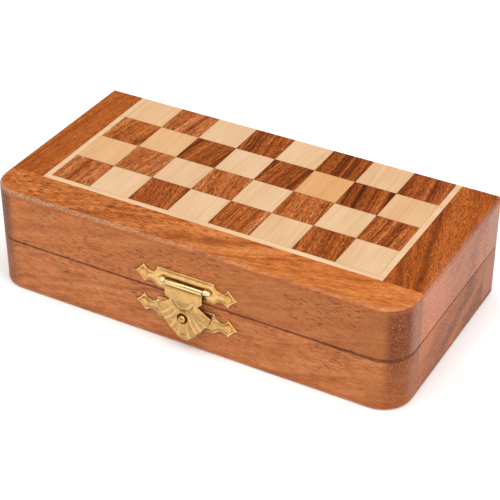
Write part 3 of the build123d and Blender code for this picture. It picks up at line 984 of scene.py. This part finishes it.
# Curves pressed into the leaf, each from its start, control and end points.
SHIELD = ((-4.0, -5.8), (0.2, -11.6), (4.4, -5.6))
SMILE = ((-1.8, -6.3), (0.2, -7.6), (2.4, -6.2))
RIBS = [
    ((-1.2, -16.9), (-1.5, -19.6), (-2.7, -22.8)),
    ((-3.0, -14.6), (-3.6, -17.2), (-6.0, -19.5)),
    ((-1.9, -9.0), (-3.6, -13.2), (-8.5, -16.4)),
    ((-3.6, -7.8), (-6.0, -12.0), (-9.6, -14.2)),
    ((1.7, -16.4), (2.2, -19.0), (2.7, -22.8)),
    ((1.9, -8.6), (2.7, -12.6), (5.6, -18.6)),
    ((2.7, -8.6), (4.7, -12.2), (7.6, -16.8)),
    ((3.7, -8.2), (6.2, -11.6), (9.6, -14.6)),
]
DOME_RADIUS, DOME_RISE, DOME_DROP = 9.5, 1.15, 14.5
BOSS_X, BOSS_DROP = -0.2, 21.2


def shell(points):
    """Front of the leaf without its edges: crowned neck, dome, shield and ribs."""
    x, y = points.T
    drop = -y
    radius = (DOME_RADIUS**2 + DOME_RISE**2) / (2 * DOME_RISE)
    out = np.minimum(np.hypot(x, drop - DOME_DROP), 12)
    cap = DOME_RISE - radius + np.sqrt((radius + LEAF_SHEET) ** 2 - out**2) - LEAF_SHEET
    height = LEAF_FRONT + 0.5 * (cap + np.sqrt(cap**2 + 0.02))
    neck = (1 - step(drop, 5.0, 8.0)) * step(drop, 1.2, 2.9)
    height += 0.12 * neck * (1 - (x / 8.5) ** 2)
    height -= 0.45 * (1 - step(drop, 0.5, 1.6))
    shield = curve(*SHIELD)
    to_shield = distance_to_path(points, shield)
    above = drop < np.interp(x, shield[:, 0], -shield[:, 1])
    relief = 0.24 * ridge(to_shield, 0.45)
    relief -= 0.2 * ridge(to_shield - 1.0, 0.5) * ~above * (np.abs(x) < 4.5)
    relief -= 0.14 * ridge(distance_to_path(points, curve(*SMILE)), 0.5)
    ribs = np.zeros(len(x))
    for start, control, end in RIBS:
        away = distance_to_path(points, curve(start, control, end))
        along = np.clip((drop + start[1]) / (start[1] - end[1]), 0, 1)
        ribs += (0.16 + 0.18 * np.sin(pi * along * 0.75)) * ridge(away, 0.30 + 0.16 * along)
    fan = step(drop, 8.0, 10.5)
    boss = np.hypot(x - BOSS_X, drop - BOSS_DROP)
    ribs *= step(boss, 1.0, 1.9)
    relief += ribs - 0.10 * fan * (1 - np.clip(ribs / 0.25, 0, 1))
    relief += 0.16 * ridge(boss - 1.15, 0.22) - 0.06 * (boss < 1.1)
    return height, relief


def leaf_front(points, to_outline, to_edge):
    height, relief = shell(points)
    drop = -points[:, 1]
    # Painted shade with tarnish in bands just below the roll.
    shade_and_tarnish_under_roll = 0.35 * ridge(drop - 0.85, 0.5) + 0.3 * ridge(drop - 1.7, 0.7)
    # A painted highlight on the ridges and along the sheet's edges.
    painted_ridge_highlight = 2.0 * np.maximum(relief, 0) + 0.8 * ridge(to_edge, 0.22)
    hollow = np.clip(shade_and_tarnish_under_roll - painted_ridge_highlight - 4.0 * np.minimum(relief, 0), -1, 1)
    return height + relief - rounded(to_edge, 0.25), hollow


def leaf_back(points):
    return sum(shell(points)) - LEAF_SHEET


def leaf_barrel():
    """The leaf's rolled top: a round bar along x, with eased ends.

    It has a painted highlight where it faces out and up, and painted shade above and below that."""
    slope = 0.3 * ROLL_EASE
    end = [(0.0, LEAF_HALF), (ROLL - ROLL_EASE, LEAF_HALF), (ROLL - slope, LEAF_HALF - slope),
           (ROLL, LEAF_HALF - ROLL_EASE)]
    points, faces, _ = lathe([(radius, -x) for radius, x in end] + end[::-1], 32)
    up, out, x = points.T
    turned = np.degrees(np.arctan2(up, out))
    lit = step(turned, -40, -12) * (1 - step(turned, 66, 92))
    points = np.column_stack([x, up - ROLL_DROP, out + LEAF_FRONT - ROLL])
    return points, faces, 0.9 - 1.7 * lit


# Profiles as (radius, w) pairs.
NAIL_HEAD = [(0.0, 0.3), (1.55, 0.3), (1.66, 0.5), (1.68, 0.78), (1.58, 0.98), (1.35, 1.10),
             (0.9, 1.16), (0.45, 1.18), (0.0, 1.18)]
STUD_NECK = [(0.0, 0.2), (1.7, 0.2), (1.7, 1.0), (1.6, 1.1), (1.0, 1.1), (1.0, 2.15)]
BALL, BALL_OUT = 1.6, 3.4


def make_clasp():
    """The two plates, the leaf, the nails and the stud."""
    hasp_place = (CLASP_X, FRONT, HASP_HEIGHT)
    catch_place = (CLASP_X, FRONT, CATCH_HEIGHT)
    outline = plate_outline()
    corners = [(-SLOT_X, SLOT_LOW), (SLOT_X, SLOT_LOW), (SLOT_X, SLOT_HIGH), (-SLOT_X, SLOT_HIGH)]
    opening = loop([straight(a, b, 0.2) for a, b in zip(corners, corners[1:] + corners[:1])])
    upper = relief_mesh(outline, [opening], covered, flat_back, PLATE_SPACING, [cover_points()])
    clasp_piece("hasp_plate_relief", [upper], hasp_place, upper_brass, "lid", "hasp_plate")
    lower = relief_mesh(outline, [], stamped, flat_back, PLATE_SPACING)
    clasp_piece("catch_plate_relief", [lower], catch_place, plate_brass, "base", "catch_plate")
    turn = np.linspace(0, 2 * pi, 48, endpoint=False)
    hole = HOLE_RADIUS * np.stack([np.cos(turn), np.sin(turn)], 1) - (0, HOLE_DROP)
    sheet = relief_mesh(leaf_outline(), [hole], leaf_front, leaf_back, LEAF_SPACING)
    leaf = [sheet, leaf_barrel()]
    clasp_piece("hasp_leaf_relief", leaf, hasp_place, plate_brass, "hasp", "hasp_leaf")
    heads = [lathe(NAIL_HEAD, 36, (x, 0.0)) for x in (-NAIL_X, NAIL_X)]
    clasp_piece("hasp_nails_heads", heads, hasp_place, nail_brass, "lid", "hasp_nails")
    clasp_piece("catch_nails_heads", heads, catch_place, nail_brass, "base", "catch_nails")
    turns = np.linspace(radians(39), pi, 20)[:-1]
    ball = [(BALL * sin(turn), BALL_OUT - BALL * cos(turn)) for turn in turns]
    stud = lathe(STUD_NECK + ball + [(0.0, BALL_OUT + BALL)], 40)
    clasp_piece("catch_stud_ball", [stud], catch_place, stud_brass, "base", "catch_stud")


make_clasp()


# ---- Velvet insert ----

SLOT_COLUMNS = 8
INSERT_STRIP = 2.5
SOFT_EDGE = 0.7
LINING_EDGE = 0.2
LAP = 0.3
CROWN = 0.10


def soft_strip(low, high, ease, lift):
    """A padded strip from its corners, rounded along every edge.

    Its free side, up when lift is 1 and down when it is -1, is a little lower and uneven."""
    mesh = bmesh.new()
    bmesh.ops.create_cube(mesh, size=1.0)
    for vertex in mesh.verts:
        vertex.co = [a + (c + 0.5) * (b - a) for a, b, c in zip(low, high, vertex.co)]
    edges = list(mesh.edges)
    bmesh.ops.bevel(mesh, geom=edges, offset=ease, segments=4, profile=0.5, affect="EDGES")
    long_edges = [e for e in mesh.edges if e.calc_length() > 4.0]
    bmesh.ops.subdivide_edges(mesh, edges=long_edges, cuts=5, use_grid_fill=True)
    points = np.array([vertex.co[:] for vertex in mesh.verts])
    x, y, z = points.T
    wave = CROWN * np.sin(x * 0.83 + y * 0.61) * np.sin(y * 0.47 + 1.3)
    free = np.abs(z - (high[2] if lift > 0 else low[2])) < 0.4 * ease
    points[:, 2] += np.where(free, wave - CROWN * lift, 0.0)
    mesh.verts.index_update()
    faces = [[v.index for v in face.verts] for face in mesh.faces]
    mesh.free()
    return points, faces


def velvet_piece(half, part, strips):
    """The strips that stand for one of a half's velvet nodes."""
    node = f"{half}_{part}"
    points, faces = joined(strips)
    return add_piece(f"{node}_velvet", points, faces, insert_velvet, half, node)


def make_insert(half):
    """The velvet-covered rim, long divider and cross dividers of one half, and its floor."""
    lift = 1 if half == "base" else -1
    low, high = (np.array(corner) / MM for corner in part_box(f"{half}_insert_rim"))
    (left, front, bottom), (right, back, top) = low, high

    def strip(x, y):
        return soft_strip((x[0], y[0], bottom), (x[1], y[1], top), SOFT_EDGE, lift)

    inner_left, inner_right = left + INSERT_STRIP, right - INSERT_STRIP
    inner_front, inner_back = front + INSERT_STRIP, back - INSERT_STRIP
    rim = [
        strip((left, right), (front, inner_front)),
        strip((left, right), (inner_back, back)),
        strip((left, inner_left), (inner_front - LAP, inner_back + LAP)),
        strip((inner_right, right), (inner_front - LAP, inner_back + LAP)),
    ]
    middle = (inner_front + inner_back) / 2
    divider = (middle - INSERT_STRIP / 2, middle + INSERT_STRIP / 2)
    long_strip = [strip((inner_left - LAP, inner_right + LAP), divider)]
    width = (inner_right - inner_left - (SLOT_COLUMNS - 1) * INSERT_STRIP) / SLOT_COLUMNS
    rows = (inner_front - LAP, divider[0] + LAP), (divider[1] - LAP, inner_back + LAP)
    cross = []
    for number in range(1, SLOT_COLUMNS):
        x = inner_left + number * (width + INSERT_STRIP) - INSERT_STRIP
        cross += [strip((x, x + INSERT_STRIP), y) for y in rows]
    for part, strips in (
        ("insert_rim", rim), ("long_divider", long_strip), ("cross_dividers", cross),
    ):
        velvet_piece(half, part, strips)
    low, high = (np.array(corner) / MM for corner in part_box(f"{half}_floor_lining"))
    lining = soft_strip(low, high, LINING_EDGE, 0)
    cloth = velvet_piece(half, "floor_lining", [lining])


for half in ("lid", "base"):
    make_insert(half)


# ---- Stage, light and camera ----

FLOOR_HALF = 3.0
FLOOR_GAP = 0.00005


def area_light(name, place, size, power):
    """A soft light, turned to the middle of the stage."""
    data = bpy.data.lights.new(name, "AREA")
    data.shape = "RECTANGLE"
    data.size, data.size_y = size
    data.energy = power
    lamp = bpy.data.objects.new(name, data)
    lamp.location = place
    lamp.rotation_euler = (-Vector(place)).to_track_quat("-Z", "Y").to_euler()
    bpy.context.scene.collection.objects.link(lamp)


def build_stage():
    """A white floor, a world that is brighter at the front, and three lights."""
    mesh = bpy.data.meshes.new("floor")
    square = ((-1, -1), (1, -1), (1, 1), (-1, 1))
    corners = [(x * FLOOR_HALF, y * FLOOR_HALF, -FLOOR_GAP) for x, y in square]
    mesh.from_pydata(corners, [], [(0, 1, 2, 3)])
    floor = bpy.data.objects.new("floor", mesh)
    bpy.context.scene.collection.objects.link(floor)
    mesh.materials.append(Shader("floor_paper").finish(Base_Color=grey(0.97), Roughness=0.9))

    world = bpy.data.worlds.new("studio")
    world.use_nodes = True
    tree = world.node_tree
    direction = tree.nodes.new("ShaderNodeTexCoord").outputs["Generated"]
    toward = tree.nodes.new("ShaderNodeVectorMath")
    toward.operation = "DOT_PRODUCT"
    toward.inputs[1].default_value = (0.3, -0.93, 0.2)
    strength = tree.nodes.new("ShaderNodeMapRange")
    for socket, value in zip(strength.inputs[1:5], (-0.5, 0.7, 0.14, 0.62)):
        socket.default_value = value
    background = tree.nodes["Background"]
    background.inputs[0].default_value = WHITE
    tree.links.new(direction, toward.inputs[0])
    tree.links.new(toward.outputs["Value"], strength.inputs[0])
    tree.links.new(strength.outputs[0], background.inputs[1])
    bpy.context.scene.world = world

    area_light("overhead", (0.05, -0.05, 1.5), (1.7, 1.5), 22.0)
    area_light("key", (-0.95, -0.75, 0.95), (0.6, 0.6), 3.0)
    area_light("fill", (1.3, -0.4, 0.8), (0.9, 0.9), 9.0)


CAMERA_PLACE = (0.2528, -0.4484, 0.3659)
CAMERA_AZIMUTH, CAMERA_ELEVATION = 29.1, 34.08
SENSOR, LENS = 36.0, 112.8


def place_camera():
    """A long lens from the front right, looking down on the board."""
    data = bpy.data.cameras.new("camera")
    data.sensor_width = SENSOR
    data.lens = LENS
    data.clip_start = 0.01
    camera = bpy.data.objects.new("camera", data)
    azimuth, elevation = radians(CAMERA_AZIMUTH), radians(CAMERA_ELEVATION)
    ahead, down = cos(elevation), -sin(elevation)
    forward = Vector((-sin(azimuth) * ahead, cos(azimuth) * ahead, down))
    camera.location = CAMERA_PLACE
    camera.rotation_euler = forward.to_track_quat("-Z", "Y").to_euler()
    bpy.context.scene.collection.objects.link(camera)
    bpy.context.scene.camera = camera


build_stage()
place_camera()
bpy.context.scene.view_settings.view_transform = "Standard"
